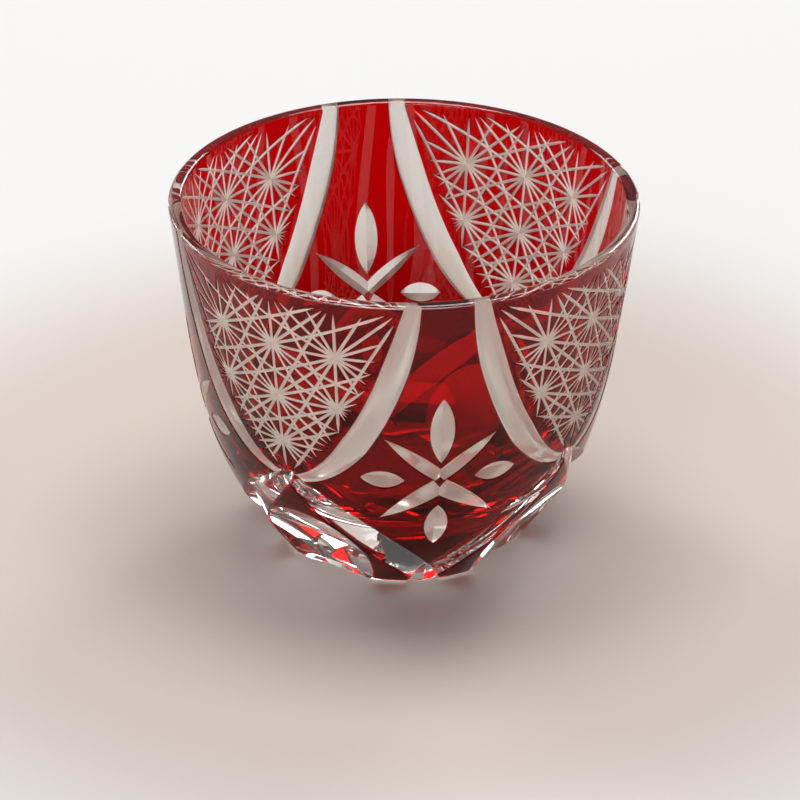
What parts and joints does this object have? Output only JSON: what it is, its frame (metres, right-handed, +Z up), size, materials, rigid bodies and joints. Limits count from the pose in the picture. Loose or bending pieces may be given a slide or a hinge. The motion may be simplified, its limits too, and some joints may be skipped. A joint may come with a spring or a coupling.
{
  "type": "cut-glass sake cup",
  "caption": "Small round sake cup of clear crystal cased in ruby glass, cut with wide flutes, mitred flowers and fine star lattices, on a flat ground foot.",
  "frame": {"origin": "middle of the foot, on the plane the cup stands on", "axes": "+Z up along the cup's axis, -Y towards the middle of a flower panel"},
  "size_m": [0.0658, 0.0658, 0.052],
  "materials": {
    "clear_crystal": "fire-polished inside, wheel-cut and polished outside",
    "ruby_casing": "polished transparent ruby"
  },
  "bodies": {
    "root": {"crystal_bowl": "clear_crystal", "flower_panel_1": "ruby_casing", "flower_panel_2": "ruby_casing", "flower_panel_3": "ruby_casing", "flower_panel_4": "ruby_casing", "star_panel_1": "ruby_casing", "star_panel_2": "ruby_casing", "star_panel_3": "ruby_casing", "star_panel_4": "ruby_casing", "foot_panel_1": "ruby_casing", "foot_panel_2": "ruby_casing", "foot_panel_3": "ruby_casing", "foot_panel_4": "ruby_casing"}
  },
  "joints": []
}
